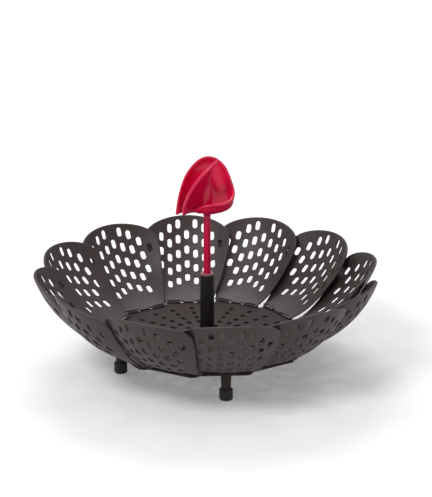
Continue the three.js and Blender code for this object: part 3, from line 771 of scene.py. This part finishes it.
# Silicone, pressed: dead matt with dust caught in a 0.6 mm grain
def silicone(name):
    material, tree, place, shader = new_material(
        name, {"IOR": 1.41, "Metallic": 0, "Sheen Weight": 0.15, "Sheen Roughness": 0.5})
    grain = add_node(tree, "ShaderNodeTexNoise", {"Scale": 1 / (0.6 * MM), "Detail": 2},
                     {"Vector": (place, "Object")})
    tint = add_node(tree, "ShaderNodeValToRGB", links={"Fac": (grain, "Fac")})
    tint.color_ramp.elements[0].color = linear("#232021")
    tint.color_ramp.elements[1].color = linear("#302c2d")
    gloss = add_node(tree, "ShaderNodeMapRange", {"To Min": 0.72, "To Max": 0.86},
                     {"Value": (grain, "Fac")})
    bump = add_node(tree, "ShaderNodeBump", {"Strength": 0.2, "Distance": 0.05 * MM},
                    {"Height": (grain, "Fac")})
    tree.links.new(tint.outputs["Color"], shader.inputs["Base Color"])
    tree.links.new(gloss.outputs["Result"], shader.inputs["Roughness"])
    tree.links.new(bump.outputs["Normal"], shader.inputs["Normal"])
    return material


petal_nylon = nylon("matt_charcoal_nylon", "#312424", "#372a2a", roughness=0.5, gleam=0.4)
# The floor uses the same nylon in a darker colour. The darkening is painted shade, standing in for
# the shadow that the petals cast on the floor.
shaded_floor_nylon = nylon("matt_nylon_darkened_as_painted_shade", "#2a1e1e", "#302423", roughness=0.58, gleam=0.22)
tube_nylon = nylon("satin_black_nylon", "#141011", "#191415", roughness=0.36, gleam=0.4)
crimson = polypropylene("glossy_crimson_polypropylene", "#d0063f", "#d70a45")
milky = milky_polypropylene("milky_pink_polypropylene")
rubber = silicone("matt_black_silicone")


# Finishes a piece: material, body, and the imported node that it stands for, which it hides
def dress(piece, material, body, node):
    piece.data.materials.clear()
    piece.data.materials.append(material)
    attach(piece, body)
    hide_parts(node)


blank = petal_blank()
for i in range(PETALS):
    number = f"{i + 1:02d}"
    place = hinge_frame(i, HINGE_HEIGHT) @ Matrix.Rotation(REST_TILT, 4, "X")
    petal = copied(blank, f"spoon_petal_{number}", place)
    dress(petal, petal_nylon, f"petal_{number}_body", f"petal_{number}")
discard(blank)

dress(floor_piece(), shaded_floor_nylon, "base", "base_plate")
tip_blank = foot_tip_blank()
for i in range(FEET):
    tip = copied(tip_blank, f"rubber_foot_{i + 1}", Matrix.Translation(foot_point(i)))
    dress(tip, rubber, "base", f"foot_tip_0{i + 1}")
discard(tip_blank)
dress(tube_piece(), tube_nylon, "base", "post_tube")
dress(nut_piece(), tube_nylon, "base", "post_nut")
dress(collar_piece(), milky, "base", "tube_collar")
dress(stem_piece(), crimson, "handle", "handle_stem")
dress(stop_piece(), tube_nylon, "handle", "stem_stop")
dress(grip_piece(), crimson, "handle", "handle_grip")

# Pale matt paper for the studio floor: it keeps the shadow and reads as white
floor_paper, tree, place, shader = new_material("pale_paper", {"Roughness": 0.9, "IOR": 1.5})
shader.inputs["Base Color"].default_value = linear("#f1f1f0")
away = add_node(tree, "ShaderNodeVectorMath", {}, {0: (place, "Object")}, operation="LENGTH")
fade = add_node(tree, "ShaderNodeMapRange",
                {"From Min": 0.2, "From Max": 1.6, "To Min": 0.16, "To Max": 0.7},
                {"Value": (away, "Value")})
lift = add_node(tree, "ShaderNodeMath", {}, {0: (sight_rays(tree), "Value"), 1: (fade, "Result")},
                operation="MULTIPLY")
shader.inputs["Emission Color"].default_value = (1, 1, 1, 1)
tree.links.new(lift.outputs["Value"], shader.inputs["Emission Strength"])
bpy.ops.object.select_all(action="DESELECT")
bpy.ops.mesh.primitive_plane_add(size=FLOOR_SIZE, location=(0, 0, 0))
ground = bpy.context.view_layer.objects.active
ground.name = "studio_floor"
ground.data.materials.append(floor_paper)

# Soft even surroundings: plain light for the object, white behind it and in its reflections
world = bpy.data.worlds.new("studio")
bpy.context.scene.world = world
world.use_nodes = True
tree = world.node_tree
tree.nodes.clear()
ambient = add_node(tree, "ShaderNodeBackground", {"Color": (1, 1, 1, 1), "Strength": 0.5})
white = add_node(tree, "ShaderNodeBackground", {"Color": (1, 1, 1, 1), "Strength": 1})
mixed = add_node(tree, "ShaderNodeMixShader",
                 links={0: (sight_rays(tree), "Value"), 1: (ambient, "Background"),
                        2: (white, "Background")})
add_node(tree, "ShaderNodeOutputWorld", links={"Surface": (mixed, "Shader")})


# Soft rectangular lamp, turned towards the basket
def softbox(name, position, size, watts):
    light = bpy.data.lights.new(name, "AREA")
    light.shape = "RECTANGLE"
    light.size, light.size_y = size
    light.energy = watts
    lamp = bpy.data.objects.new(name, light)
    bpy.context.scene.collection.objects.link(lamp)
    lamp.location = position
    aim = Vector(LIGHT_AIM) - Vector(position)
    lamp.rotation_euler = aim.to_track_quat("-Z", "Y").to_euler()


softbox("key_softbox", position=(-0.8, -1.0, 1.5), size=(0.6, 0.5), watts=16)
softbox("back_softbox", position=(-0.1, 1.0, 1.6), size=(0.8, 0.5), watts=11)

# Camera at the photograph's angle
camera_data = bpy.data.cameras.new("camera")
camera_data.lens = CAMERA_LENS
camera_data.sensor_width = CAMERA_SENSOR
camera = bpy.data.objects.new("camera", camera_data)
bpy.context.scene.collection.objects.link(camera)
camera.location = CAMERA_PLACE
aim = Vector(CAMERA_AIM) - camera.location
camera.rotation_euler = aim.to_track_quat("-Z", "Y").to_euler()
bpy.context.scene.camera = camera
bpy.context.scene.view_settings.view_transform = "Standard"
